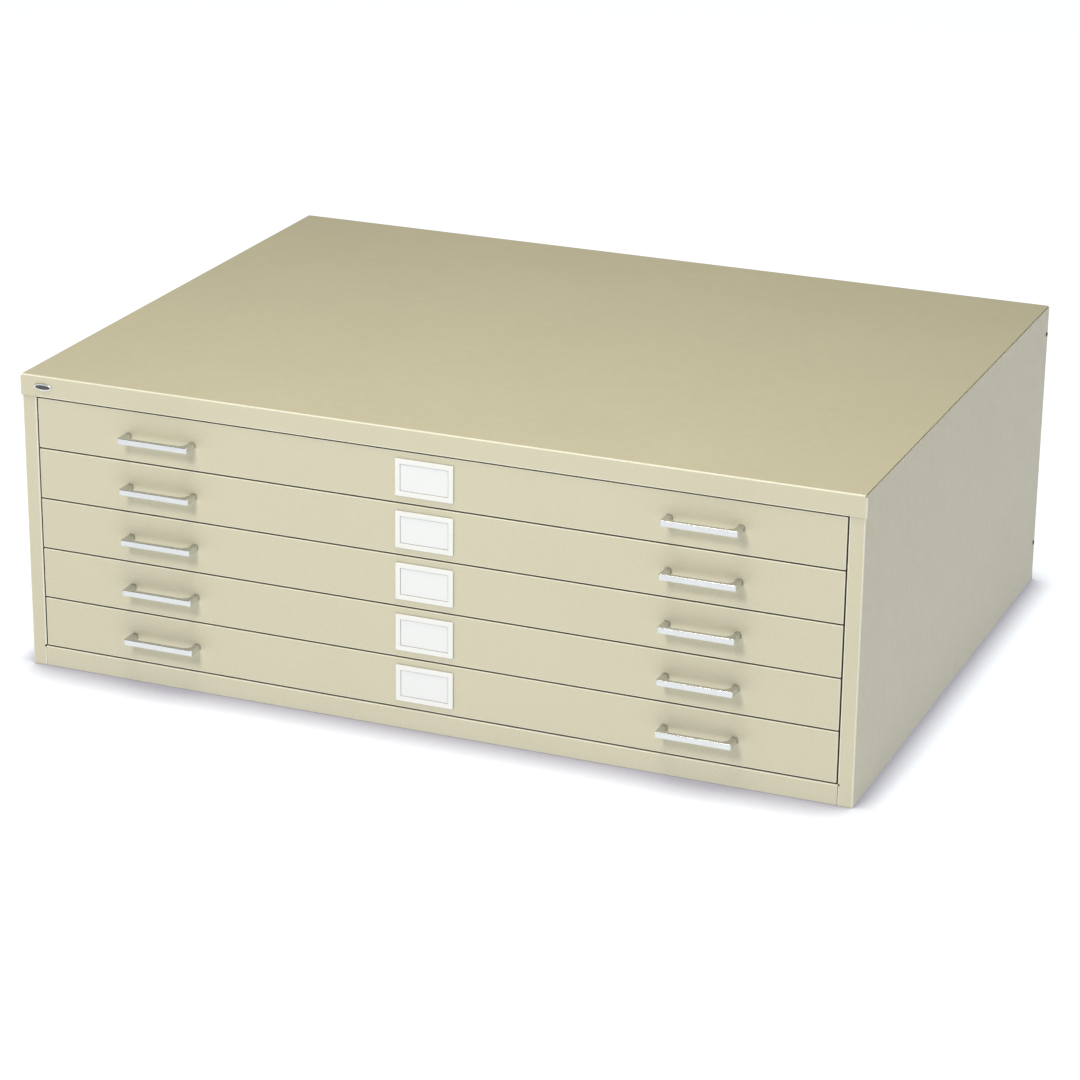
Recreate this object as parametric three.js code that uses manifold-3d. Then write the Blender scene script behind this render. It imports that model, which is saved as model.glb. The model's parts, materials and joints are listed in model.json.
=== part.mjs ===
// A five-drawer steel flat file cabinet for sheets up to 762 x 1067 mm (30 x 42 in).
// Millimetres, +Z up. The drawer fronts face -Y, and the origin is on the floor under the middle of the
// cabinet, handles included. Drawer 1 is the top one. Folded panels are modelled as sheets at their real
// gauge, and pieces that touch keep a gap of GAP.
import * as THREE from "three";
import { mergeVertices } from "three/addons/utils/BufferGeometryUtils.js";
import Module from "manifold-3d";

// ---- Driving dimensions ----
const WIDTH = 1178; // over the side panels
const DEPTH = 898.5; // from the faces of the handles to the back
const HEIGHT = 419.1;
const DRAWERS = 5;
const GAP = 0.3; // between touching pieces
const SHEET = 1.2; // gauge of the casing
const THIN = 1; // gauge of the drawers
const RAIL_SHEET = 1.5; // gauge of the runners and slides

// Face of the casing
const STILE = 21; // width of the side panels' front faces
const HEADER = 30.15; // height of the cap's front flange
const BOTTOM_RAIL = 29; // height of the rail under the lowest drawer
const REVEAL = 1.9; // dark line round each drawer front
const CAP_PROUD = 2; // how far the cap stands out past the front and the sides
const RETURN = 16; // depth of the folds behind the casing's front face
const STILE_RETURN = 20;
const SILL_RETURN = 14; // upturned edge at the back of the cap's sill
const CAP_LIP = 25; // the cap's lips inside the side panels, down from the top
const CAP_BACK_LIP = 20;
const BACK_FLANGE = 15; // side flanges of the back panel
const BOTTOM_FLANGE = 20; // inward fold at the foot of each side panel
const PAN_EDGE = { height: 24, inset: 5 }; // the bottom pan's upturned edges
const NOTCH = { reach: 2.5, depth: 3, below: 2, above: 1.5 }; // relief where a stile meets the bottom rail

// Drawers
const TRAY_INSIDE_WIDTH = 1092;
const TRAY_INSIDE_DEPTH = 813;
const TRAY_INSIDE_HEIGHT = 54;
const TRAY_RISE = 4; // underside of the tray above the lower edge of its front
const TRAY_LIP = 5; // outward fold along the tray's sides
const HOOD_DEPTH = 80;
const HOOD_HEM = 4;
const HOOD_DROP = 20;
const DRAWER_TRAVEL = 650;

// Handles and labels
const HANDLE_LENGTH = 103;
const HANDLE_REACH = 25;
const HANDLE_HEIGHT = 8;
const HANDLE_LEG = 8;
const HANDLE_BAR = 6;
const HANDLE_X = 382; // centre of each handle from the middle
const LABEL = { width: 82, height: 51, windowWidth: 67.5, windowHeight: 35.5, depth: 2.2, pocket: 1.4 };
const BADGE = { x: -556, drop: 15.4, width: 27, height: 10, depth: 1.2 };

// Paper depressor, a flap on a pin across the front of each tray
const PIN_RADIUS = 1.5;
const PIN_HOLE = 1.9;
const KNUCKLE = 3;
const BEAD = 2; // rolled edge of the flap
const FLAP_LENGTH = 88; // from the pin to the centre of the rolled edge
const FLAP_WIDTH = 1076;
const PIN_BACK = 7; // pin behind the tray's front wall
const PIN_DROP = 9; // pin below the tray's rim
const LUG = 10;

// Ball-bearing runners
const CHANNEL_RISE = 14; // inside floor of the channel above the lower edge of the drawer's front
const CHANNEL_CLEAR = 20.5; // inside height of the channel
const CHANNEL_MOUTH = 551.5; // open side of the channel, from the middle
const CHANNEL_BACK = 565; // closed side of the channel, from the middle
const CHANNEL_START = 22; // behind the front face
const CHANNEL_END_CLEAR = 30; // ahead of the back
const FRONT_ROLLER = { radius: 8.25, setback: 45 };
const REAR_ROLLER = { radius: 9.9, setback: 805 };
const ROLLER_WIDTH = 11;
const ROLLER_CLEAR = 0.8; // front roller to the channel's closed side
const ROLLER_LIFT = 0.5; // front roller above the channel's floor
const AXLE = 4; // radius of a roller's axle
const STOP = 2.8; // thickness of a stop lug
const STOP_DEPTH = 2.9; // how far a stop lug stands out of the channel's closed side
const STOP_CLEAR = 4; // stop lug to the channel's floor and ceiling
const SLIDE_FLANGE = 12.7; // width of the flange that rides on the front roller
const POST = { width: 30, outer: 586, setbacks: [60, 420, 790] };
const POST_TOP_CLEAR = 32;

// Screws that hold the back panel
const SCREW = { head: 3.5, headHeight: 1.2, shank: 1.8, hole: 2.2, length: 8 };
const SCREW_PLACE = { inset: 6, fromTop: 41, fromFloor: 59 };

// ---- Derived positions ----
const SIDE = WIDTH / 2;
const BACK = DEPTH / 2;
const FRONT = HANDLE_REACH - DEPTH / 2; // plane of the drawer fronts
const CAP_FACE = FRONT - CAP_PROUD;
const OPENING = SIDE - STILE;
const PANEL_TOP = HEIGHT - SHEET - GAP;
const PITCH = (HEIGHT - HEADER - BOTTOM_RAIL - REVEAL) / DRAWERS;
const FRONT_HEIGHT = PITCH - REVEAL;
const TRAY_SIDE = TRAY_INSIDE_WIDTH / 2 + THIN;
const TRAY_START = FRONT + RETURN + GAP;
const TRAY_END = TRAY_START + TRAY_INSIDE_DEPTH + 2 * THIN;
const TRAY_TOP = TRAY_RISE + THIN + TRAY_INSIDE_HEIGHT; // above the lower edge of the front
const PIN_Y = TRAY_START + THIN + PIN_BACK;
const PIN_Z = TRAY_TOP - PIN_DROP;
const FLAP_DROP = PIN_Z - TRAY_RISE - THIN - GAP - BEAD;
const FLAP_ANGLE = Math.asin(FLAP_DROP / FLAP_LENGTH);
const SCREW_HEIGHTS = [SCREW_PLACE.fromFloor, HEIGHT - SCREW_PLACE.fromTop];

// Lower edge of drawer n's front; drawer 1 is on top.
const drawerFloor = (n) => BOTTOM_RAIL + REVEAL + (DRAWERS - n) * PITCH;

// ---- Materials ----
const paint = (color, roughness) => new THREE.MeshStandardMaterial({ color, roughness, metalness: 0 });
const metal = (color, roughness) => new THREE.MeshStandardMaterial({ color, roughness, metalness: 1 });
const MATERIALS = {
  sand: paint(0xd9d2b9, 0.45),
  bright: metal(0xd8d9d6, 0.22),
  zinc: metal(0xb4b6b2, 0.38),
  label: paint(0xf3f0e4, 0.4),
  screw: paint(0x1c1c1a, 0.5),
  badge: metal(0xb9bab6, 0.3),
};

// ---- Solids ----
const wasm = await Module();
wasm.setup();

// A closed three.js geometry as a solid that can be joined and cut. Its points are rounded to a
// micrometre, so that faces meant to be flush are flush.
function solid(geometry) {
  geometry.deleteAttribute("normal");
  geometry.deleteAttribute("uv");
  const points = geometry.attributes.position.array;
  points.forEach((value, i) => {
    points[i] = Math.round(value * 1000) / 1000;
  });
  const merged = mergeVertices(geometry, 1e-4);
  const mesh = new wasm.Mesh({
    numProp: 3,
    vertProperties: merged.attributes.position.array,
    triVerts: new Uint32Array(merged.index.array),
  });
  return new wasm.Manifold(mesh);
}

function join(first, ...others) {
  return others.reduce((whole, next) => whole.add(next), first);
}

// A block between two values on each axis.
function block([x0, x1], [y0, y1], [z0, z1]) {
  const geometry = new THREE.BoxGeometry(x1 - x0, y1 - y0, z1 - z0);
  geometry.translate((x0 + x1) / 2, (y0 + y1) / 2, (z0 + z1) / 2);
  return solid(geometry);
}

// A round bar along X.
function bar(radius, [x0, x1], y, z, sides = 20) {
  const geometry = new THREE.CylinderGeometry(radius, radius, x1 - x0, sides);
  geometry.rotateZ(Math.PI / 2);
  geometry.translate((x0 + x1) / 2, y, z);
  return solid(geometry);
}

function extrude(shape, depth, segments) {
  return new THREE.ExtrudeGeometry(shape, { depth, bevelEnabled: false, curveSegments: segments });
}

const X = new THREE.Vector3(1, 0, 0);
const Y = new THREE.Vector3(0, 1, 0);
const Z = new THREE.Vector3(0, 0, 1);

// A shape drawn in (y, z), carried along X.
function alongX(shape, [x0, x1]) {
  const geometry = extrude(shape, x1 - x0, 1);
  geometry.applyMatrix4(new THREE.Matrix4().makeBasis(Y, Z, X).setPosition(x0, 0, 0));
  return solid(geometry);
}

// A shape drawn in (x, z), carried along Y.
function alongY(shape, [y0, y1], segments = 1) {
  const geometry = extrude(shape, y1 - y0, segments);
  const basis = new THREE.Matrix4().makeBasis(X, Z, Y.clone().negate());
  geometry.applyMatrix4(basis.setPosition(0, y1, 0));
  return solid(geometry);
}

function polygon(points) {
  return new THREE.Shape(points.map(([u, v]) => new THREE.Vector2(u, v)));
}

function roundedRectangle(width, height, radius, cx = 0, cy = 0) {
  const [u, v] = [width / 2 - radius, height / 2 - radius];
  const shape = new THREE.Shape();
  shape.moveTo(cx - u, cy - v - radius);
  shape.absarc(cx + u, cy - v, radius, -Math.PI / 2, 0);
  shape.absarc(cx + u, cy + v, radius, 0, Math.PI / 2);
  shape.absarc(cx - u, cy + v, radius, Math.PI / 2, Math.PI);
  shape.absarc(cx - u, cy - v, radius, Math.PI, Math.PI * 1.5);
  return shape;
}

// ---- The object ----
const cabinet = new THREE.Group();

// Adds a solid as a named mesh.
function add(name, shape, material, parent = cabinet) {
  const { vertProperties, triVerts } = shape.getMesh();
  const geometry = new THREE.BufferGeometry();
  geometry.setAttribute("position", new THREE.BufferAttribute(vertProperties, 3));
  geometry.setIndex(new THREE.BufferAttribute(triVerts, 1));
  geometry.computeVertexNormals();
  const mesh = new THREE.Mesh(geometry, material.clone());
  mesh.name = name;
  parent.add(mesh);
  return mesh;
}

// Adds a piece of the right side and its mirror image on the left.
function addPair(name, shape, material, parent = cabinet) {
  add(`${name}_right`, shape, material, parent);
  add(`${name}_left`, shape, material, parent).scale.x = -1;
}

// ---- Casing ----

// The cap: the top sheet, its front flange with a mitred tab round each corner, the sill that closes the
// flange off above the top drawer, and lips that hook down inside the side and back panels.
function topCap() {
  const tabSide = [SIDE + CAP_PROUD - RAIL_SHEET, SIDE + CAP_PROUD];
  const sillBottom = HEIGHT - HEADER;
  const inner = OPENING - GAP;
  const lip = [SIDE - 2 * SHEET - GAP, SIDE - SHEET - GAP];
  const corner = polygon([
    [CAP_FACE, HEIGHT],
    [CAP_FACE, sillBottom],
    [CAP_FACE + HEADER, sillBottom],
  ]);
  const mirrored = ([x0, x1]) => [-x1, -x0];
  const tabs = [tabSide, mirrored(tabSide)].map((range) => alongX(corner, range));
  const lipTop = HEIGHT - SHEET / 2;
  const lips = [lip, mirrored(lip)].map((range) =>
    block(range, [FRONT + STILE_RETURN + 2, BACK - BACK_FLANGE - GAP], [HEIGHT - CAP_LIP, lipTop]),
  );
  return join(
    block([-SIDE, SIDE], [CAP_FACE, BACK], [HEIGHT - SHEET, HEIGHT]),
    block([-SIDE - CAP_PROUD, SIDE + CAP_PROUD], [CAP_FACE, CAP_FACE + RAIL_SHEET], [sillBottom, HEIGHT]),
    block([-inner, inner], [CAP_FACE, FRONT + RETURN], [sillBottom, sillBottom + SHEET]),
    block([-inner, inner], [FRONT + RETURN - SHEET, FRONT + RETURN], [sillBottom, sillBottom + SILL_RETURN]),
    block([-inner, inner], [BACK - 2 * SHEET - GAP, BACK - SHEET - GAP], [HEIGHT - CAP_BACK_LIP, lipTop]),
    ...tabs,
    ...lips,
  );
}

// The right side panel: one sheet folded into the front stile with its return, and into a flange at the
// floor. A small relief is notched out where the stile meets the bottom rail.
function sidePanel() {
  const upright = [0, PANEL_TOP];
  const whole = join(
    block([SIDE - SHEET, SIDE], [FRONT, BACK], upright),
    block([OPENING, SIDE], [FRONT, FRONT + SHEET], upright),
    block([OPENING, OPENING + SHEET], [FRONT, FRONT + STILE_RETURN], upright),
    block([SIDE - BOTTOM_FLANGE, SIDE], [FRONT, BACK - SHEET - GAP], [0, SHEET]),
  );
  const relief = block(
    [OPENING - GAP, OPENING + NOTCH.reach],
    [FRONT - SHEET, FRONT + NOTCH.depth],
    [BOTTOM_RAIL - NOTCH.below, BOTTOM_RAIL + NOTCH.above],
  );
  return whole.subtract(relief).subtract(screwHoles());
}

// The clearance holes for the right-hand pair of back panel screws.
function screwHoles() {
  const holes = SCREW_HEIGHTS.map((z) =>
    bar(SCREW.hole, [SIDE - 2 * SCREW.length, SIDE + SHEET], BACK - SCREW_PLACE.inset, z, 16),
  );
  return join(...holes);
}

// The back panel: a sheet set in between the sides, with a screwed flange folded forward at each side.
function backPanel() {
  const edge = SIDE - SHEET - GAP;
  const upright = [SHEET + GAP, PANEL_TOP];
  const flange = block([edge - SHEET, edge], [BACK - BACK_FLANGE, BACK], upright).subtract(screwHoles());
  return join(
    block([-edge + SHEET / 2, edge - SHEET / 2], [BACK - SHEET, BACK], upright),
    flange,
    flange.mirror([1, 0, 0]),
  );
}

// The rail below the lowest drawer, a channel laid on its back between the stiles.
function bottomRail() {
  const span = [-OPENING + GAP, OPENING - GAP];
  return join(
    block(span, [FRONT, FRONT + SHEET], [0, BOTTOM_RAIL]),
    block(span, [FRONT, FRONT + RETURN], [0, SHEET]),
    block(span, [FRONT, FRONT + RETURN], [BOTTOM_RAIL - SHEET, BOTTOM_RAIL]),
  );
}

// The floor of the casing, with an upturned edge at the front and at the back.
function bottomPan() {
  const half = OPENING - GAP;
  const edge = half - PAN_EDGE.inset;
  const [start, end] = [FRONT + RETURN + GAP, BACK - SHEET - GAP];
  return join(
    block([-half, half], [start, end], [0, SHEET]),
    block([-edge, edge], [start, start + SHEET], [0, PAN_EDGE.height]),
    block([-edge, edge], [end - SHEET, end], [0, PAN_EDGE.height]),
  );
}

// A screw of the right side: a round head outside and a plain shank.
function sideScrew(z) {
  const under = SIDE + GAP;
  const y = BACK - SCREW_PLACE.inset;
  return join(
    bar(SCREW.head, [under, under + SCREW.headHeight], y, z, 20),
    bar(SCREW.shank, [under - SCREW.length, under + SCREW.headHeight / 2], y, z, 12),
  );
}

// ---- Runners ----

// One channel of the right runner frame, with its front roller and two lugs that stop the rear roller.
function runnerChannel(n) {
  const floor = drawerFloor(n) + CHANNEL_RISE;
  const ceiling = floor + CHANNEL_CLEAR;
  const web = CHANNEL_BACK - RAIL_SHEET;
  const outer = CHANNEL_BACK + 0.2; // runs into the posts
  const section = polygon([
    [CHANNEL_MOUTH, floor - RAIL_SHEET],
    [outer, floor - RAIL_SHEET],
    [outer, ceiling + RAIL_SHEET],
    [CHANNEL_MOUTH, ceiling + RAIL_SHEET],
    [CHANNEL_MOUTH, ceiling],
    [web, ceiling],
    [web, floor],
    [CHANNEL_MOUTH, floor],
  ]);
  const channel = alongY(section, [FRONT + CHANNEL_START, BACK - CHANNEL_END_CLEAR]);
  const axle = { y: FRONT + FRONT_ROLLER.setback, z: floor + ROLLER_LIFT + FRONT_ROLLER.radius };
  const roller = join(
    bar(FRONT_ROLLER.radius, [web - ROLLER_WIDTH, web - ROLLER_CLEAR], axle.y, axle.z),
    bar(AXLE, [web - ROLLER_WIDTH - 0.5, outer], axle.y, axle.z, 12),
  );
  const closed = FRONT + REAR_ROLLER.setback;
  const rearStop = closed + REAR_ROLLER.radius + GAP;
  const frontStop = closed - DRAWER_TRAVEL - REAR_ROLLER.radius - GAP - STOP;
  const lugs = [frontStop, rearStop].map((y) =>
    block([web - STOP_DEPTH, outer], [y, y + STOP], [floor + STOP_CLEAR, ceiling - STOP_CLEAR]),
  );
  return join(channel, roller, ...lugs);
}

// The right runner frame: three posts welded to the five channels.
function runnerFrame() {
  const numbers = Array.from({ length: DRAWERS }, (_, i) => i + 1);
  const upright = [SHEET + GAP, HEIGHT - POST_TOP_CLEAR];
  const posts = POST.setbacks.map((setback) => {
    const [y0, y1] = [FRONT + setback, FRONT + setback + POST.width];
    return join(
      block([CHANNEL_BACK, CHANNEL_BACK + RAIL_SHEET], [y0, y1], upright),
      block([CHANNEL_BACK, POST.outer], [y0, y0 + RAIL_SHEET], upright),
      block([POST.outer - RAIL_SHEET, POST.outer], [y0, y1], upright),
    );
  });
  return join(...posts, ...numbers.map(runnerChannel));
}

// ---- Drawers, drawn with the lower edge of the front at z = 0 ----

// The folded front: a face with a return on each of its four edges.
function drawerFront() {
  const half = OPENING - REVEAL;
  const outside = block([-half, half], [FRONT, FRONT + RETURN], [0, FRONT_HEIGHT]);
  const inside = block(
    [-half + THIN, half - THIN],
    [FRONT + THIN, FRONT + RETURN + THIN],
    [THIN, FRONT_HEIGHT - THIN],
  );
  return outside.subtract(inside);
}

// The tray that holds the sheets: floor, four walls, a raised front wall that closes the front's folds, an
// outward lip along each side, and the two lugs that carry the depressor's pin.
function drawerTray() {
  const inner = TRAY_INSIDE_WIDTH / 2;
  const outside = block([-TRAY_SIDE, TRAY_SIDE], [TRAY_START, TRAY_END], [TRAY_RISE, TRAY_TOP]);
  const inside = block(
    [-inner, inner],
    [TRAY_START + THIN, TRAY_END - THIN],
    [TRAY_RISE + THIN, TRAY_TOP + THIN],
  );
  const frontWall = block(
    [-TRAY_SIDE, TRAY_SIDE],
    [TRAY_START, TRAY_START + THIN],
    [TRAY_RISE, FRONT_HEIGHT - THIN - GAP],
  );
  const lip = block(
    [inner + THIN / 2, TRAY_SIDE + TRAY_LIP],
    [TRAY_START, TRAY_END],
    [TRAY_TOP - THIN, TRAY_TOP],
  );
  const lug = block(
    [inner - 4.5, inner + THIN / 2],
    [PIN_Y - LUG / 2, PIN_Y + LUG / 2],
    [PIN_Z - LUG / 2, PIN_Z + LUG / 2],
  ).subtract(bar(PIN_HOLE, [inner - LUG, inner], PIN_Y, PIN_Z, 16));
  const side = join(lip, lug);
  return join(outside.subtract(inside), frontWall, side, side.mirror([1, 0, 0]));
}

// The hood over the back of the tray, which keeps sheets from riding over the rear wall.
function drawerHood() {
  const under = TRAY_TOP + GAP;
  const half = TRAY_SIDE + TRAY_LIP;
  const lipClear = TRAY_INSIDE_WIDTH / 2 - 1;
  const edge = TRAY_END - HOOD_DEPTH;
  const rear = TRAY_END + GAP;
  return join(
    block([-half, half], [edge, rear + THIN], [under, under + THIN]),
    block([-lipClear, lipClear], [edge, edge + THIN], [under - HOOD_HEM, under + THIN]),
    block([-half, half], [rear, rear + THIN], [under + THIN - HOOD_DROP, under + THIN]),
  );
}

// The depressor about its own pin, lying level: knuckle, pin ends, flap and rolled edge.
function depressor() {
  const half = FLAP_WIDTH / 2;
  const pinEnd = TRAY_INSIDE_WIDTH / 2 - 0.5;
  return join(
    bar(KNUCKLE, [-half, half], 0, 0, 16),
    bar(PIN_RADIUS, [-pinEnd, pinEnd], 0, 0, 12),
    block([-half, half], [0, FLAP_LENGTH], [-THIN / 2, THIN / 2]),
    bar(BEAD, [-half, half], FLAP_LENGTH, 0, 12),
  );
}

// The right slide: a rail on the tray's side whose flange rides on the channel's front roller, and the
// roller at its rear end that runs inside the channel.
function drawerSlide() {
  const web = [TRAY_SIDE + GAP, TRAY_SIDE + GAP + RAIL_SHEET];
  const flangeTop = CHANNEL_RISE + ROLLER_LIFT + 2 * FRONT_ROLLER.radius + GAP + RAIL_SHEET;
  const y = FRONT + REAR_ROLLER.setback;
  const z = CHANNEL_RISE + CHANNEL_CLEAR / 2;
  const rollerStart = web[1] + 2;
  const flange = block(
    [web[0], web[0] + SLIDE_FLANGE],
    [TRAY_START + 4, y - REAR_ROLLER.radius - 2],
    [flangeTop - RAIL_SHEET, flangeTop],
  );
  return join(
    block(web, [TRAY_START + 1, TRAY_END], [TRAY_RISE + 2, flangeTop]),
    flange,
    bar(REAR_ROLLER.radius, [rollerStart, rollerStart + ROLLER_WIDTH], y, z),
    bar(AXLE, [web[0] + 0.5, rollerStart + ROLLER_WIDTH + 0.7], y, z, 12),
  );
}

// A handle at x = 0: a bow whose legs meet the bar in a wide fillet inside and a tight bend outside.
function handle() {
  const half = HANDLE_LENGTH / 2;
  const bend = 2;
  const fillet = 10;
  const leg = half - HANDLE_LEG;
  const inside = HANDLE_REACH - HANDLE_BAR;
  const bow = new THREE.Shape();
  bow.moveTo(-half, -GAP);
  bow.absarc(-half + bend, -HANDLE_REACH + bend, bend, Math.PI, Math.PI * 1.5);
  bow.absarc(half - bend, -HANDLE_REACH + bend, bend, -Math.PI / 2, 0);
  bow.lineTo(half, -GAP);
  bow.lineTo(leg, -GAP);
  bow.absarc(leg - fillet, fillet - inside, fillet, 0, -Math.PI / 2, true);
  bow.absarc(-leg + fillet, fillet - inside, fillet, -Math.PI / 2, -Math.PI, true);
  bow.lineTo(-leg, -GAP);
  const geometry = extrude(bow, HANDLE_HEIGHT, 6);
  geometry.translate(0, FRONT, (FRONT_HEIGHT - HANDLE_HEIGHT) / 2);
  return solid(geometry);
}

// A label holder: a thin plate with a raised frame round the card.
function labelHolder() {
  const middle = FRONT_HEIGHT / 2;
  const face = FRONT - GAP - LABEL.depth;
  const plate = alongY(roundedRectangle(LABEL.width, LABEL.height, 1.5, 0, middle), [face, FRONT - GAP], 3);
  const pocket = block(
    [-LABEL.windowWidth / 2, LABEL.windowWidth / 2],
    [face - 1, face + LABEL.pocket],
    [middle - LABEL.windowHeight / 2, middle + LABEL.windowHeight / 2],
  );
  return plate.subtract(pocket);
}

function badge() {
  const oval = new THREE.Shape();
  oval.absellipse(BADGE.x, HEIGHT - BADGE.drop, BADGE.width / 2, BADGE.height / 2, 0, 2 * Math.PI);
  return alongY(oval, [CAP_FACE - GAP - BADGE.depth, CAP_FACE - GAP], 28);
}

function addDrawer(n) {
  const drawer = new THREE.Group();
  drawer.position.z = drawerFloor(n);
  cabinet.add(drawer);
  const prefix = `drawer_${n}_`;
  add(`${prefix}front`, drawerFront(), MATERIALS.sand, drawer);
  add(`${prefix}tray`, drawerTray(), MATERIALS.sand, drawer);
  add(`${prefix}hood`, drawerHood(), MATERIALS.sand, drawer);
  add(`${prefix}label_holder`, labelHolder(), MATERIALS.label, drawer);
  addPair(`${prefix}slide`, drawerSlide(), MATERIALS.zinc, drawer);
  add(`${prefix}handle_right`, handle(), MATERIALS.bright, drawer).position.x = HANDLE_X;
  add(`${prefix}handle_left`, handle(), MATERIALS.bright, drawer).position.x = -HANDLE_X;
  const flap = add(`${prefix}depressor`, depressor(), MATERIALS.sand, drawer);
  flap.position.set(0, PIN_Y, PIN_Z);
  flap.rotation.x = -FLAP_ANGLE;
}

add("top_cap", topCap(), MATERIALS.sand);
addPair("side_panel", sidePanel(), MATERIALS.sand);
add("back_panel", backPanel(), MATERIALS.sand);
add("bottom_rail", bottomRail(), MATERIALS.sand);
add("bottom_pan", bottomPan(), MATERIALS.sand);
addPair("runner_frame", runnerFrame(), MATERIALS.zinc);
addPair("lower_side_screw", sideScrew(SCREW_HEIGHTS[0]), MATERIALS.screw);
addPair("upper_side_screw", sideScrew(SCREW_HEIGHTS[1]), MATERIALS.screw);
add("badge", badge(), MATERIALS.badge);
for (let n = 1; n <= DRAWERS; n += 1) addDrawer(n);

export default cabinet;
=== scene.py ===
"""Looks of a five-drawer steel flat file cabinet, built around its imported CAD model.

Metres, in the CAD model's frame: +X to the right seen from the front, +Y to the back, +Z up, origin on the
floor. Sheet-metal pieces are folded from flat panels, with real bend radii, and stand for their CAD nodes.
Drawer 1 is the top one, and a side is +1 for right and -1 for left.
"""

import json
import math

import bmesh
import bpy
from mathutils import Matrix, Vector


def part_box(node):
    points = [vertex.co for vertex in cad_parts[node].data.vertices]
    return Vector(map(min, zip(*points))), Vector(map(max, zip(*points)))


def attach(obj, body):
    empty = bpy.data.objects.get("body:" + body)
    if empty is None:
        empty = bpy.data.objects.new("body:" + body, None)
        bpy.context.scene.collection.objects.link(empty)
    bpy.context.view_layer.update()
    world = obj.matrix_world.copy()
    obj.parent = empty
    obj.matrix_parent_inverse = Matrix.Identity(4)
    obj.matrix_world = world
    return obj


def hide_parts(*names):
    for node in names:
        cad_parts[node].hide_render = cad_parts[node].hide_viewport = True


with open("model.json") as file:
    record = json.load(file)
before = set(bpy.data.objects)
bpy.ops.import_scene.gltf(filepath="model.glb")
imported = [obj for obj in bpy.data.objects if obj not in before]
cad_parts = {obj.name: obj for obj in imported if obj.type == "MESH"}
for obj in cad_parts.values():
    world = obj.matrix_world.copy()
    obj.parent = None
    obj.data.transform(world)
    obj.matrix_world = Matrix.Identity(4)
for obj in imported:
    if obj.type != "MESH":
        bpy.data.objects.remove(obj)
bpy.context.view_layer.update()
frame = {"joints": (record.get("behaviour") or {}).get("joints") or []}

# ---- Sizes ----
GAP = 0.0003  # between pieces that touch
CASING_GAUGE = 0.0012
DRAWER_GAUGE = 0.001
RUNNER_GAUGE = 0.0015
CASING_BEND = 0.0017  # outside radius of a fold
DRAWER_BEND = 0.0012
RUNNER_BEND = 0.0024
SEAM = 0.0012  # the top sheet stops this far inside the casing's sides
SLIT = 0.0004  # width of the relief cut at the end of a short fold
RELIEF = 0.0026  # depth of that cut, and of the notches at corners
SHEET_EDGE = 0.00018  # rounding of a sheet's cut edges
SEAT = 0.00002  # a fitted piece stops this far short of what it sits on

SILL_RETURN = 0.014
STILE_RETURN = 0.020
FLOOR_FLANGE = 0.020
CAP_LIP = 0.025
CAP_BACK_LIP = 0.020
FOOT_NOTCH = (0.027, 0.0305)  # between the stile and its return, low and high edge
FOOT_NOTCH_DEPTH = 0.003

TRAY_WALL = 0.059  # top of the tray's walls above the lower edge of the drawer's front
TRAY_RISE = 0.004
TRAY_SIDE = 0.547  # outer face of the tray's side walls, from the middle
END_FLANGE = 0.012  # of the tray's end plates
HOOD_HEM = 0.005
HOOD_HEM_END = 0.545
HANDLE_LEG = 0.008
FLAP_WIDTH = 1.076
PIN_RADIUS = 0.0015
BEAD_RADIUS = 0.002  # of the rolled edge of the depressor
REAR_ROLLER = {"radius": 0.0099, "setback": 0.805}
FRONT_ROLLER = {"radius": 0.00825, "setback": 0.045}
ROLLER_WIDTH = 0.011
ROLLER_CLEAR = 0.0008  # front roller to the channel's closed side
ROLLER_LIFT = 0.0005  # front roller above the channel's floor
AXLE_RADIUS = 0.004
SLIDE_FLANGE = 0.0127  # width of the flange that rides on the front roller
RIVET_SETBACKS = (0.05, 0.25, 0.50, 0.75)
CHANNEL_RISE = 0.014
CHANNEL_CLEAR = 0.0205
CHANNEL_MOUTH = 0.5515
CHANNEL_BACK = 0.565
DRAWER_TRAVEL = 0.65
STOP = 0.0028  # thickness of a stop lug
STOP_DEPTH = 0.0029
STOP_CLEAR = 0.004  # stop lug to the channel's floor and ceiling
POST_SETBACKS = (0.06, 0.42, 0.79)
POST_WIDTH = 0.03
POST_OUTER = 0.586

DRAWERS = range(1, 6)
SIDES = {"left": -1, "right": 1}

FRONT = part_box("drawer_1_front")[0].y  # plane of the drawer fronts
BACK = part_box("back_panel")[1].y


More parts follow.
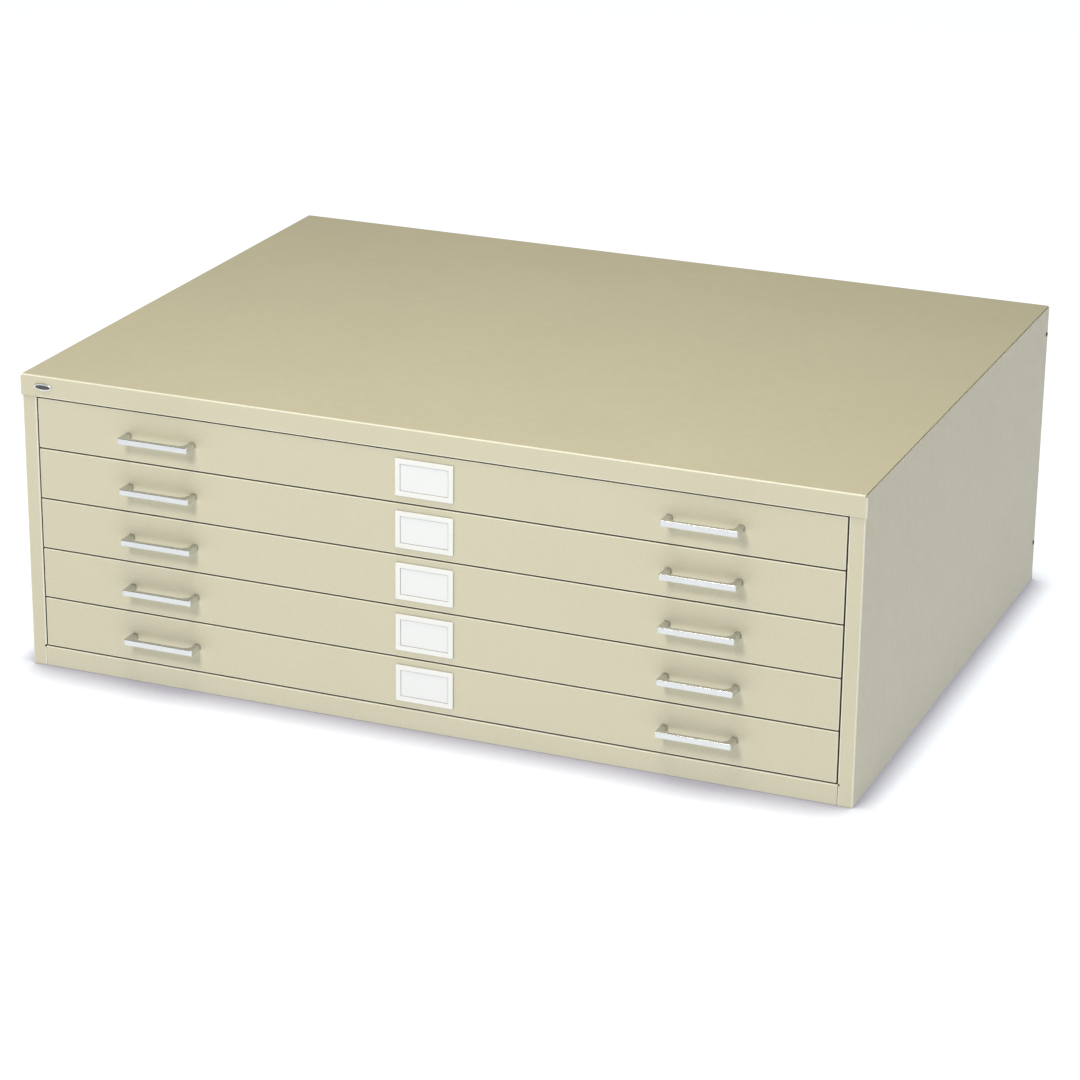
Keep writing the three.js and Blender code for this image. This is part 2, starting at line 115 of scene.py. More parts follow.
# ---- Materials ----
class Nodes:
    """A material's node tree, with short ways to add nodes and to link them."""

    def __init__(self, name):
        self.material = bpy.data.materials.new(name)
        self.material.use_nodes = True
        self.tree = self.material.node_tree
        self.shader = self.tree.nodes["Principled BSDF"]
        self.coordinates = self.tree.nodes.new("ShaderNodeTexCoord").outputs["Object"]

    def add(self, kind, **values):
        """A node. Each value goes to its setting, or else to its input socket, of that name."""
        node = self.tree.nodes.new(kind)
        for key, value in values.items():
            if hasattr(node, key):
                setattr(node, key, value)
            else:
                self.put(node.inputs[key.replace("_", " ")], value)
        return node

    def put(self, socket, value):
        if isinstance(value, bpy.types.NodeSocket):
            self.tree.links.new(value, socket)
        else:
            socket.default_value = value

    def noise(self, scale, detail=2.0, stretch=(1, 1, 1)):
        """Noise in the object's own coordinates; stretch makes it finer or coarser along an axis."""
        mapping = self.add("ShaderNodeMapping", Vector=self.coordinates, Scale=stretch)
        noise = self.add("ShaderNodeTexNoise", Vector=mapping.outputs["Vector"], Scale=scale, Detail=detail)
        return noise.outputs["Fac"]

    def spread(self, source, low, high, start=0.3, end=0.7):
        """The source, which mostly lies between start and end, spread from low to high."""
        node = self.add(
            "ShaderNodeMapRange", Value=source, From_Min=start, From_Max=end, To_Min=low, To_Max=high
        )
        return node.outputs["Result"]

    def mix(self, factor, first, second):
        node = self.add("ShaderNodeMix", data_type="RGBA")
        self.put(node.inputs["Factor"], factor)
        self.put(node.inputs[6], first)
        self.put(node.inputs[7], second)
        return node.outputs[2]

    def bump(self, height, distance, strength=1.0, normal=None):
        node = self.add("ShaderNodeBump", Height=height, Distance=distance, Strength=strength)
        if normal is not None:
            self.put(node.inputs["Normal"], normal)
        return node.outputs["Normal"]

    def painted_shade_mask(self, reach, closed, open_, samples=8):
        """Ambient occlusion as a mask for painted shade: 0 deep in a gap narrower than reach and 1 in the
        open. closed and open_ are the shares of clear sky that count as such."""
        sky = self.add("ShaderNodeAmbientOcclusion", Distance=reach)
        sky.samples = samples
        return self.spread(sky.outputs["AO"], 0.0, 1.0, closed, open_)

    def finish(self, **values):
        for key, value in values.items():
            self.put(self.shader.inputs[key.replace("_", " ")], value)
        return self.material


def colour(red, green, blue):
    return (red, green, blue, 1.0)


def satin_paint():
    """Powder coat: faint clouds of tone and an orange-peel skin, with a painted highlight along the folds
    and painted shade in narrow seams and gaps.
    """
    nodes = Nodes("satin_paint")
    clouds = nodes.spread(nodes.noise(5), 0.0, 1.0)
    flecks = nodes.spread(nodes.noise(420, detail=3), 0.0, 1.0)
    cloudy = nodes.mix(clouds, colour(0.600, 0.560, 0.408), colour(0.630, 0.588, 0.428))
    flecked = nodes.mix(flecks, cloudy, colour(0.655, 0.612, 0.455))
    # Painted highlight: the faces of every fold, marked by fold_panels, are painted paler.
    fold = nodes.add("ShaderNodeAttribute", attribute_name="fold").outputs["Fac"]
    with_fold_highlight = nodes.mix(nodes.spread(fold, 0.0, 0.8, start=0.0, end=1.0), flecked, colour(0.88, 0.85, 0.72))
    # Painted shade: the paint turns dark brown in narrow seams and gaps, where ambient occlusion finds
    # them.
    base = nodes.mix(nodes.painted_shade_mask(0.005, 0.2, 0.75), colour(0.15, 0.13, 0.08), with_fold_highlight)
    peel = nodes.bump(nodes.noise(650, detail=2), 0.00006, 0.5)
    waves = nodes.bump(nodes.noise(9, detail=1), 0.0006, 0.25, peel)
    rough = nodes.spread(nodes.noise(70), 0.40, 0.50)
    return nodes.finish(Base_Color=base, Roughness=rough, Normal=waves)


def bright_metal():
    """Bright plated steel, brushed along the bar."""
    nodes = Nodes("bright_metal")
    brushed = nodes.noise(60, detail=4, stretch=(0.6, 22, 22))
    base = nodes.mix(brushed, colour(0.56, 0.57, 0.58), colour(0.70, 0.71, 0.72))
    smudges = nodes.spread(nodes.noise(90), 0.16, 0.30)
    return nodes.finish(
        Base_Color=base,
        Roughness=smudges,
        Normal=nodes.bump(brushed, 0.00004, 0.5),
        Metallic=1.0,
        Anisotropic=0.3,
    )


def zinc_steel():
    """Zinc-plated steel: small crystals of slightly different shade, a drawn grain and dull patches."""
    nodes = Nodes("zinc_steel")
    crystals = nodes.add("ShaderNodeTexVoronoi", Vector=nodes.coordinates, Scale=210).outputs["Color"]
    shade = nodes.add("ShaderNodeSeparateColor", Color=crystals).outputs["Red"]
    base = nodes.mix(shade, colour(0.52, 0.53, 0.52), colour(0.68, 0.69, 0.67))
    warm = nodes.mix(nodes.spread(nodes.noise(22), 0.0, 0.35), base, colour(0.70, 0.66, 0.52))
    grain = nodes.noise(80, detail=3, stretch=(18, 1, 18))
    return nodes.finish(
        Base_Color=warm,
        Roughness=nodes.spread(nodes.noise(45), 0.30, 0.48),
        Normal=nodes.bump(grain, 0.00003, 0.6),
        Metallic=1.0,
    )


def label_plastic():
    """Moulded ivory-white plastic with faint flow marks, and painted shade in its narrow steps and corners.
    """
    nodes = Nodes("label_plastic")
    flow = nodes.noise(40, detail=2, stretch=(0.4, 1, 1.6))
    body = nodes.mix(flow, colour(0.83, 0.83, 0.81), colour(0.89, 0.89, 0.87))
    # Painted shade: the plastic turns grey where ambient occlusion finds a narrow step or corner.
    base = nodes.mix(nodes.painted_shade_mask(0.003, 0.4, 0.9), colour(0.30, 0.29, 0.32), body)
    skin = nodes.bump(nodes.noise(900), 0.00002, 0.6)
    rough = nodes.spread(nodes.noise(130), 0.28, 0.38)
    return nodes.finish(Base_Color=base, Roughness=rough, Normal=skin, IOR=1.49)


def card_paper():
    """Uncoated white card with its fibres."""
    nodes = Nodes("card_paper")
    fibres = nodes.noise(1500, detail=5, stretch=(0.5, 1, 1.4))
    base = nodes.mix(fibres, colour(0.82, 0.825, 0.83), colour(0.88, 0.885, 0.89))
    rough = nodes.spread(nodes.noise(300), 0.75, 0.92)
    return nodes.finish(Base_Color=base, Roughness=rough, Normal=nodes.bump(fibres, 0.00004, 0.7))


def black_oxide():
    """Black-finished steel, a little worn."""
    nodes = Nodes("black_oxide")
    worn = nodes.noise(800, detail=4)
    bare = nodes.spread(worn, 0.0, 1.0, start=0.5, end=0.8)
    base = nodes.mix(bare, colour(0.018, 0.018, 0.02), colour(0.10, 0.10, 0.10))
    rough = nodes.spread(nodes.noise(500), 0.34, 0.55)
    return nodes.finish(Base_Color=base, Roughness=rough, Normal=nodes.bump(worn, 0.00003, 0.5))


def badge_metal():
    """Satin aluminium with a fine straight grain."""
    nodes = Nodes("badge_metal")
    grain = nodes.noise(120, detail=3, stretch=(1, 1, 30))
    base = nodes.mix(grain, colour(0.74, 0.75, 0.74), colour(0.88, 0.88, 0.87))
    rough = nodes.spread(nodes.noise(200), 0.22, 0.34)
    return nodes.finish(
        Base_Color=base,
        Roughness=rough,
        Normal=nodes.bump(grain, 0.00002, 0.5),
        Metallic=1.0,
    )


def badge_enamel():
    """Dark enamel under a glossy coat."""
    nodes = Nodes("badge_enamel")
    depth = nodes.noise(260, detail=3)
    base = nodes.mix(depth, colour(0.015, 0.016, 0.018), colour(0.05, 0.052, 0.055))
    rough = nodes.spread(nodes.noise(180), 0.20, 0.32)
    return nodes.finish(
        Base_Color=base,
        Roughness=rough,
        Normal=nodes.bump(depth, 0.00002, 0.3),
        Coat_Weight=0.6,
    )


PAINT = satin_paint()
BRIGHT = bright_metal()
ZINC = zinc_steel()
PLASTIC = label_plastic()
PAPER = card_paper()
BLACK = black_oxide()
BADGE_METAL = badge_metal()
BADGE_ENAMEL = badge_enamel()


# ---- Mesh tools ----
def make_piece(name, mesh, material, body, edge=0.0, replaces=(), gauge=0.0):
    """Turns a bmesh into a piece. gauge thickens a skin inwards, and edge rounds what is still sharp."""
    data = bpy.data.meshes.new(name)
    for face in mesh.faces:
        face.smooth = True
    mesh.to_mesh(data)
    mesh.free()
    piece = bpy.data.objects.new(name, data)
    bpy.context.scene.collection.objects.link(piece)
    data.materials.append(material)
    if gauge:
        thick = piece.modifiers.new("gauge", "SOLIDIFY")
        thick.thickness = gauge
        thick.offset = -1
        thick.use_even_offset = True
        thick.use_quality_normals = True
    if edge:
        rounding = piece.modifiers.new("edges", "BEVEL")
        rounding.width = edge
        rounding.segments = 2
        rounding.limit_method = "ANGLE"
        rounding.angle_limit = math.radians(40)
    piece.modifiers.new("shading", "WEIGHTED_NORMAL")
    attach(piece, body)
    if replaces:
        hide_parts(*replaces)
    return piece


def add_panels(mesh, panels, side=1):
    """Adds flat panels, each (outward direction, corners on its outer skin). Equal corners are shared."""
    known = {}
    for outward, corners in panels:
        loop = []
        for x, y, z in corners:
            place = (round(side * x, 6), round(y, 6), round(z, 6))
            if place not in known:
                known[place] = mesh.verts.new(place)
            loop.append(known[place])
        face = mesh.faces.new(loop)
        face.normal_update()
        if face.normal.dot(Vector((side * outward[0], outward[1], outward[2]))) < 0:
            face.normal_flip()


def box_panels(low, high, faces):
    """Panels on the faces of a box that look along the given directions."""
    corner = {-1: low, 1: high}
    panels = []
    for outward in faces:
        axis = next(i for i in range(3) if outward[i])
        u, v = [i for i in range(3) if i != axis]
        corners = []
        for step_u, step_v in ((-1, -1), (1, -1), (1, 1), (-1, 1)):
            point = [0, 0, 0]
            point[axis] = corner[outward[axis]][axis]
            point[u] = corner[step_u][u]
            point[v] = corner[step_v][v]
            corners.append(tuple(point))
        panels.append((outward, corners))
    return panels


def fold_panels(mesh, radius, gauge, steps=4):
    """Rounds every edge between two panels to a sheet's outside or inside radius, and marks the fold
    faces, which the paint paints paler as a painted highlight.
    """
    highlight_mark = mesh.faces.layers.float.new("fold")
    folds = [edge for edge in mesh.edges if len(edge.link_faces) == 2]
    outer = [edge for edge in folds if edge.calc_face_angle_signed() > 0]
    inner = [edge for edge in folds if edge.calc_face_angle_signed() < 0]
    for edges, size in ((outer, radius), (inner, radius - gauge)):
        if edges:
            made = bmesh.ops.bevel(
                mesh,
                geom=edges,
                offset=size,
                segments=steps,
                profile=0.5,
                affect="EDGES",
                clamp_overlap=False,
            )
            for face in made["faces"]:
                face[highlight_mark] = 1.0


def folded_sheet(name, panels, gauge, radius, body, side=1, material=PAINT, replaces=()):
    mesh = bmesh.new()
    add_panels(mesh, panels, side)
    fold_panels(mesh, radius, gauge)
    return make_piece(name, mesh, material, body, SHEET_EDGE, replaces, gauge)


def relieved(start, end, fold_start, fold_end, inward):
    """Corners along an edge that is folded only between two points, with a relief slit at each end."""
    start, end, first, last = (Vector(point) for point in (start, end, fold_start, fold_end))
    step = (end - start).normalized() * SLIT
    deep = Vector(inward) * RELIEF
    before = [start, first - step, first - step + deep, first + deep, first]
    after = [last, last + deep, last + step + deep, last + step, end]
    return before + after


def turn(mesh, profile, centre, axis, segments=40):
    """Revolves a closed profile of (radius, height) corners about an axis through centre."""
    spin = Vector((0, 0, 1)).rotation_difference(Vector(axis)).to_matrix().to_4x4()
    place = Matrix.Translation(centre) @ spin
    rings = []
    for radius, height in profile:
        if radius == 0:
            rings.append([mesh.verts.new(place @ Vector((0, 0, height)))])
            continue
        angles = [2 * math.pi * i / segments for i in range(segments)]
        points = [Vector((radius * math.cos(a), radius * math.sin(a), height)) for a in angles]
        rings.append([mesh.verts.new(place @ point) for point in points])
    closes = profile[0][0] > 0
    pairs = list(zip(rings, rings[1:] + rings[:1])) if closes else list(zip(rings, rings[1:]))
    for first, second in pairs:
        bridge(mesh, first, second)


def bridge(mesh, first, second):
    """Faces between two rings of equal length, or from a ring to one point."""
    count = max(len(first), len(second))
    for i in range(count):
        j = (i + 1) % count
        corners = [
            first[i % len(first)],
            first[j % len(first)],
            second[j % len(second)],
            second[i % len(second)],
        ]
        mesh.faces.new(list(dict.fromkeys(corners)))


def dome(radius, height, steps=5):
    """Profile corners of a low dome, from its rim up to the axis."""
    ball = (radius**2 + height**2) / (2 * height)
    reach = math.asin(radius / ball)
    angles = [reach * (1 - i / steps) for i in range(steps)]
    curve = [(ball * math.sin(a), ball * math.cos(a) - ball + height) for a in angles]
    return curve + [(0, height)]


def rounded_rectangle(width, height, radius, y, middle, steps=5):
    """A loop of points round an upright rectangle that faces -Y."""
    points = []
    for quarter, (sign_x, sign_z) in enumerate(((1, -1), (1, 1), (-1, 1), (-1, -1))):
        centre = (sign_x * (width / 2 - radius), middle + sign_z * (height / 2 - radius))
        for i in range(steps + 1):
            angle = math.pi / 2 * (quarter - 1 + i / steps)
            points.append((centre[0] + radius * math.cos(angle), y, centre[1] + radius * math.sin(angle)))
    return points


def loft(mesh, loops):
    """Bridges loops of points in order, and closes the first and the last one."""
    rings = [[mesh.verts.new(point) for point in loop] for loop in loops]
    for first, second in zip(rings, rings[1:]):
        bridge(mesh, first, second)
    mesh.faces.new(rings[0][::-1])
    mesh.faces.new(rings[-1])


def outward_faces(mesh):
    bmesh.ops.recalc_face_normals(mesh, faces=mesh.faces)


# ---- Casing ----
def top_cap():
    """The top sheet with its front flange, corner tabs and sill, and the lips that hook into the casing."""
    low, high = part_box("top_cap")
    panel_low, panel_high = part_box("side_panel_right")
    half, ear = panel_high.x - SEAM, high.x
    inner = panel_low.x - GAP
    face, sill, top = low.y, low.z, high.z
    sill_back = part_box("drawer_1_front")[1].y
    sill_plan = [(-inner, face), (inner, face), (inner, sill_back), (-inner, sill_back)]
    sill_top = sill + SILL_RETURN
    sill_edge = [(-inner, sill), (inner, sill), (inner, sill_top), (-inner, sill_top)]
    shoulder = top - RELIEF
    edge_below = relieved(
        (ear, face, sill), (-ear, face, sill), (inner, face, sill), (-inner, face, sill), (0, 0, 1)
    )
    ends = [(-ear, face, shoulder), (-half, face, shoulder), (-half, face, top)]
    flange = [(-x, y, z) for x, y, z in reversed(ends)] + edge_below + ends
    panels = [
        ((0, 0, 1), [(-half, high.y, top), (half, high.y, top), (half, face, top), (-half, face, top)]),
        ((0, -1, 0), flange),
        ((0, 0, -1), [(x, y, sill) for x, y in sill_plan]),
        ((0, 1, 0), [(x, sill_back, z) for x, z in sill_edge]),
    ]
    lip_start, lip_end = FRONT + STILE_RETURN + 0.002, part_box("back_panel")[0].y - GAP
    lip_x = panel_high.x - CASING_GAUGE - GAP
    lip_top, lip_foot = top - CASING_GAUGE, top - CAP_LIP
    for side in SIDES.values():
        tab_foot = face + shoulder - sill
        tab = [(side * ear, face, shoulder), (side * ear, face, sill), (side * ear, tab_foot, sill)]
        lip = [(lip_start, lip_foot), (lip_end, lip_foot), (lip_end, lip_top), (lip_start, lip_top)]
        panels.append(((side, 0, 0), tab))
        panels.append(((side, 0, 0), [(side * lip_x, y, z) for y, z in lip]))
    back_lip, back_foot = BACK - CASING_GAUGE - GAP, top - CAP_BACK_LIP
    corners = [(-inner, back_foot), (inner, back_foot), (inner, lip_top), (-inner, lip_top)]
    panels.append(((0, 1, 0), [(x, back_lip, z) for x, z in corners]))
    folded_sheet("cap", panels, CASING_GAUGE, CASING_BEND, "cabinet", replaces=["top_cap"])


def side_panel(name, side):
    """One sheet: the side, the front stile with its return, and a flange along the floor."""
    low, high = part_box("side_panel_right")
    front, top = low.y, high.z
    stile, outer = low.x, high.x
    flange_start, flange_end = front + 2 * RELIEF, BACK - CASING_GAUGE - GAP
    foot = relieved(
        (outer, front, 0), (outer, BACK, 0), (outer, flange_start, 0), (outer, flange_end, 0), (0, 0, 1)
    )
    inner_flange = outer - FLOOR_FLANGE
    notch_low, notch_high = FOOT_NOTCH
    notch_x, notch_y = stile + RELIEF, front + FOOT_NOTCH_DEPTH
    back_edge = front + STILE_RETURN
    stile_face = [
        (outer, 0),
        (outer, top),
        (stile, top),
        (stile, notch_high),
        (notch_x, notch_high),
        (notch_x, notch_low),
        (stile, notch_low),
        (stile, 0),
    ]
    stile_return = [
        (front, notch_high),
        (front, top),
        (back_edge, top),
        (back_edge, 0),
        (front, 0),
        (front, notch_low),
        (notch_y, notch_low),
        (notch_y, notch_high),
    ]
    floor_flange = [
        (outer, flange_start),
        (outer, flange_end),
        (inner_flange, flange_end),
        (inner_flange, flange_start),
    ]
    panels = [
        ((1, 0, 0), foot + [(outer, BACK, top), (outer, front, top)]),
        ((0, -1, 0), [(x, front, z) for x, z in stile_face]),
        ((-1, 0, 0), [(stile, y, z) for y, z in stile_return]),
        ((0, 0, -1), [(x, y, 0) for x, y in floor_flange]),
    ]
    node = f"side_panel_{name}"
    folded_sheet(f"side_{name}", panels, CASING_GAUGE, CASING_BEND, "cabinet", side, replaces=[node])


def channel(name, node, faces, widen=0.0):
    """A sheet folded into a channel that covers the given faces of its node's box, widened at both ends."""
    low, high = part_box(node)
    end = Vector((widen, 0, 0))
    panels = box_panels(low - end, high + end, faces)
    folded_sheet(name, panels, CASING_GAUGE, CASING_BEND, "cabinet", replaces=[node])


top_cap()
channel("back", "back_panel", [(-1, 0, 0), (0, 1, 0), (1, 0, 0)])
channel("kick_rail", "bottom_rail", [(0, 0, -1), (0, -1, 0), (0, 0, 1)], widen=GAP * 0.8)
channel("floor_pan", "bottom_pan", [(0, -1, 0), (0, 0, -1), (0, 1, 0)])
for side_name, side_sign in SIDES.items():
    side_panel(side_name, side_sign)


# ---- Drawers ----
def drawer_front(n, body):
    low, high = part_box(f"drawer_{n}_front")
    faces = [(0, -1, 0), (0, 0, 1), (0, 0, -1), (1, 0, 0), (-1, 0, 0)]
    panels = box_panels(low, high, faces)
    folded_sheet(f"front_{n}", panels, DRAWER_GAUGE, DRAWER_BEND, body, replaces=[f"drawer_{n}_front"])


def drawer_tray(n, body, pin):
    """A wrapped floor with sides and lips, two welded end plates, and bushes for the depressor's pin."""
    low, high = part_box(f"drawer_{n}_tray")
    floor, rim = low.z, low.z - TRAY_RISE + TRAY_WALL
    wall, lip = TRAY_SIDE, high.x
    start, end = low.y, high.y
    profile = [
        ((0, 0, -1), (-lip, rim - DRAWER_GAUGE), (-wall, rim - DRAWER_GAUGE)),
        ((-1, 0, 0), (-wall, rim - DRAWER_GAUGE), (-wall, floor)),
        ((0, 0, -1), (-wall, floor), (wall, floor)),
        ((1, 0, 0), (wall, floor), (wall, rim - DRAWER_GAUGE)),
        ((0, 0, -1), (wall, rim - DRAWER_GAUGE), (lip, rim - DRAWER_GAUGE)),
    ]
    panels = []
    for outward, (x0, z0), (x1, z1) in profile:
        panels.append((outward, [(x0, start, z0), (x0, end, z0), (x1, end, z1), (x1, start, z1)]))
    inside = wall - DRAWER_GAUGE - GAP
    seat = floor + DRAWER_GAUGE + GAP / 3
    ends = ((-1, start, start + END_FLANGE, high.z), (1, end, end - END_FLANGE, rim))
    for outward, y, inner_y, top in ends:
        plate = [(-inside, y, seat), (inside, y, seat), (inside, y, top), (-inside, y, top)]
        flange = [(-inside, y, seat), (inside, y, seat), (inside, inner_y, seat), (-inside, inner_y, seat)]
        panels.append(((0, outward, 0), plate))
        panels.append(((0, 0, -1), flange))
    folded_sheet(f"tray_{n}", panels, DRAWER_GAUGE, DRAWER_BEND, body, replaces=[f"drawer_{n}_tray"])
    mesh = bmesh.new()
    bush = [(0.0019, 0), (0.0019, 0.0045), (0.0038, 0.0045), (0.005, 0.003), (0.005, 0)]
    for side in SIDES.values():
        turn(mesh, bush, Vector((side * inside, pin.y, pin.z)), (-side, 0, 0), segments=28)
    outward_faces(mesh)
    make_piece(f"pin_bushes_{n}", mesh, ZINC, body, edge=0.0002)


def drawer_hood(n, body):
    """A cover over the back of the tray, with a hem in front and a drop behind."""
    low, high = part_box(f"drawer_{n}_hood")
    half, top = high.x, high.z
    hem = top - HOOD_HEM
    front_edge = relieved(
        (half, low.y, top),
        (-half, low.y, top),
        (HOOD_HEM_END, low.y, top),
        (-HOOD_HEM_END, low.y, top),
        (0, 1, 0),
    )
    ends = [(HOOD_HEM_END, low.y), (-HOOD_HEM_END, low.y)]
    drop = [(-half, top), (half, top), (half, low.z), (-half, low.z)]
    panels = [
        ((0, 0, 1), front_edge + [(-half, high.y, top), (half, high.y, top)]),
        ((0, -1, 0), [(x, y, top) for x, y in ends] + [(x, y, hem) for x, y in ends[::-1]]),
        ((0, 1, 0), [(x, high.y, z) for x, z in drop]),
    ]
    folded_sheet(f"hood_{n}", panels, DRAWER_GAUGE, DRAWER_BEND, body, replaces=[f"drawer_{n}_hood"])


def arc(centre, radius, start, end, steps):
    """Points of an arc in (y, z), angles in degrees from +Y towards +Z."""
    angles = [math.radians(start + (end - start) * i / steps) for i in range(steps + 1)]
    return [(centre[0] + radius * math.cos(a), centre[1] + radius * math.sin(a)) for a in angles]


def ribbon(mesh, path, gauge, low_x, high_x):
    """A sheet of one gauge that follows a path in (y, z), from low_x to high_x."""
    points = [Vector(point) for point in path]
    stations = []
    for i, point in enumerate(points):
        ahead = points[min(i + 1, len(points) - 1)] - points[max(i - 1, 0)]
        normal = Vector((-ahead.y, ahead.x)).normalized() * gauge / 2
        stations.append((point + normal, point - normal))
    outline = [a for a, _ in stations] + [b for _, b in reversed(stations)]
    ends = [[mesh.verts.new((x, y, z)) for y, z in outline] for x in (low_x, high_x)]
    bridge(mesh, ends[0], ends[1])
    count = len(outline)
    for ring in ends:
        for i in range(len(points) - 1):
            mesh.faces.new([ring[i], ring[i + 1], ring[count - 2 - i], ring[count - 1 - i]])


def depressor(n, pin):
    """A flap curled round its pin, with a rolled edge that rests on the tray's floor."""
    body = f"depressor_{n}"
    node = f"drawer_{n}_depressor"
    low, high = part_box(node)
    curl = PIN_RADIUS + GAP + DRAWER_GAUGE / 2
    roll = BEAD_RADIUS - DRAWER_GAUGE / 2
    edge = Vector((high.y - BEAD_RADIUS, low.z + BEAD_RADIUS))
    knuckle = Vector((pin.y, pin.z))
    slope = math.degrees(math.atan2(edge.y - knuckle.y, edge.x - knuckle.x))
    path = arc(knuckle, curl, slope + 380, slope + 90, 16)
    path += arc(edge, roll, slope + 90, slope - 190, 12)
    mesh = bmesh.new()
    ribbon(mesh, path, DRAWER_GAUGE, -FLAP_WIDTH / 2, FLAP_WIDTH / 2)
    outward_faces(mesh)
    make_piece(f"flap_{n}", mesh, PAINT, body, edge=0.00015, replaces=[node])
    mesh = bmesh.new()
    reach = high.x
    tip, chamfer = PIN_RADIUS * 0.7, 0.0006
    profile = [(0, 0), (tip, 0), (PIN_RADIUS, chamfer)]
    profile += [(PIN_RADIUS, 2 * reach - chamfer), (tip, 2 * reach), (0, 2 * reach)]
    turn(mesh, profile, Vector((-reach, pin.y, pin.z)), (1, 0, 0), segments=20)
    outward_faces(mesh)
    make_piece(f"flap_pin_{n}", mesh, ZINC, body)


def roller_profile(radius, width):
    """A wheel with a rounded tread and a hollow on each face."""
    rim, web = radius * 0.78, radius * 0.5
    half = [
        (0, width * 0.36),
        (web, width * 0.36),
        (rim - 0.0006, width * 0.36),
        (rim, width * 0.5),
        (radius - 0.0008, width * 0.5),
        (radius, width * 0.5 - 0.0008),
    ]
    return half + [(r, -h) for r, h in reversed(half)]


def drawer_slide(n, name, side, body):
    """A rail on the side of the tray and the roller at its rear end."""
    node = f"drawer_{n}_slide_{name}"
    low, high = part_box(f"drawer_{n}_slide_right")
    axle_y, axle_z = FRONT + REAR_ROLLER["setback"], high.z - REAR_ROLLER["radius"]
    web = low.x
    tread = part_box(f"drawer_{n}_front")[0].z + CHANNEL_RISE + ROLLER_LIFT + 2 * FRONT_ROLLER["radius"]
    flange_top = tread + GAP + RUNNER_GAUGE
    flange_end = axle_y - REAR_ROLLER["radius"] - 0.002
    flange_start = low.y + 0.003
    upper = relieved(
        (web, low.y, flange_top),
        (web, high.y, flange_top),
        (web, flange_start, flange_top),
        (web, flange_end, flange_top),
        (0, 0, -1),
    )
    edge = web + SLIDE_FLANGE
    flange = [(web, flange_start), (web, flange_end), (edge, flange_end), (edge, flange_start)]
    panels = [
        ((-1, 0, 0), upper + [(web, high.y, low.z), (web, low.y, low.z)]),
        ((0, 0, 1), [(x, y, flange_top) for x, y in flange]),
    ]
    sheet = f"slide_{name}_{n}"
    folded_sheet(sheet, panels, RUNNER_GAUGE, RUNNER_BEND, body, side, ZINC, [node])
    mesh = bmesh.new()
    outer = high.x
    hub = Vector((side * (outer - 0.0007 - ROLLER_WIDTH / 2), axle_y, axle_z))
    turn(mesh, roller_profile(REAR_ROLLER["radius"], ROLLER_WIDTH), hub, (side, 0, 0))
    root = 0.0012  # where the axle starts, inside the rail's sheet
    length = outer - web - root
    axle = [(0, 0), (AXLE_RADIUS, 0), (AXLE_RADIUS, length - 0.001), (0.0032, length - 0.0004), (0, length)]
    turn(mesh, axle, Vector((side * (web + root), axle_y, axle_z)), (side, 0, 0), segments=28)
    rivet = [(0, 0)] + dome(0.0035, 0.0011)
    for setback in RIVET_SETBACKS:
        place = Vector((side * (web + RUNNER_GAUGE), FRONT + setback, low.z + 0.009))
        turn(mesh, rivet, place, (side, 0, 0), segments=20)
    outward_faces(mesh)
    make_piece(f"slide_roller_{name}_{n}", mesh, ZINC, body)


def handle(n, name, body):
    """A bow of square bar: a wide fillet inside each corner and a tight bend outside."""
    node = f"drawer_{n}_handle_{name}"
    low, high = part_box(node)
    leg, bar_depth, bend, fillet = HANDLE_LEG, 0.006, 0.002, 0.010
    foot = FRONT - SEAT
    inner = low.y + bar_depth
    outline = [(low.x, foot)]
    outline += arc((low.x + bend, low.y + bend), bend, 180, 270, 4)
    outline += arc((high.x - bend, low.y + bend), bend, 270, 360, 4)
    outline += [(high.x, foot), (high.x - leg, foot)]
    outline += arc((high.x - leg - fillet, inner + fillet), fillet, 0, -90, 8)
    outline += arc((low.x + leg + fillet, inner + fillet), fillet, -90, -180, 8)
    outline += [(low.x + leg, foot)]
    mesh = bmesh.new()
    rings = [[mesh.verts.new((x, y, z)) for x, y in outline] for z in (low.z, high.z)]
    bridge(mesh, rings[0], rings[1])
    for ring in rings:
        mesh.faces.new(ring)
    outward_faces(mesh)
    piece = make_piece(f"handle_{name}_{n}", mesh, BRIGHT, body, edge=0.0007, replaces=[node])
    piece.modifiers["edges"].segments = 3


def handle_screws(n, body):
    """The heads of the handles' screws, on the inside of the tray's front wall."""
    mesh = bmesh.new()
    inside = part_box(f"drawer_{n}_tray")[0].y + DRAWER_GAUGE
    rim, rise = 0.0038, 0.0003
    profile = [(0, 0), (rim, 0), (rim, rise)]
    profile += [(radius, height + rise) for radius, height in dome(0.0036, 0.0011)]
    for name in SIDES:
        low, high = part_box(f"drawer_{n}_handle_{name}")
        for x in (low.x + HANDLE_LEG / 2, high.x - HANDLE_LEG / 2):
            turn(mesh, profile, Vector((x, inside, (low.z + high.z) / 2)), (0, 1, 0), segments=24)
    outward_faces(mesh)
    make_piece(f"handle_screws_{n}", mesh, ZINC, body)


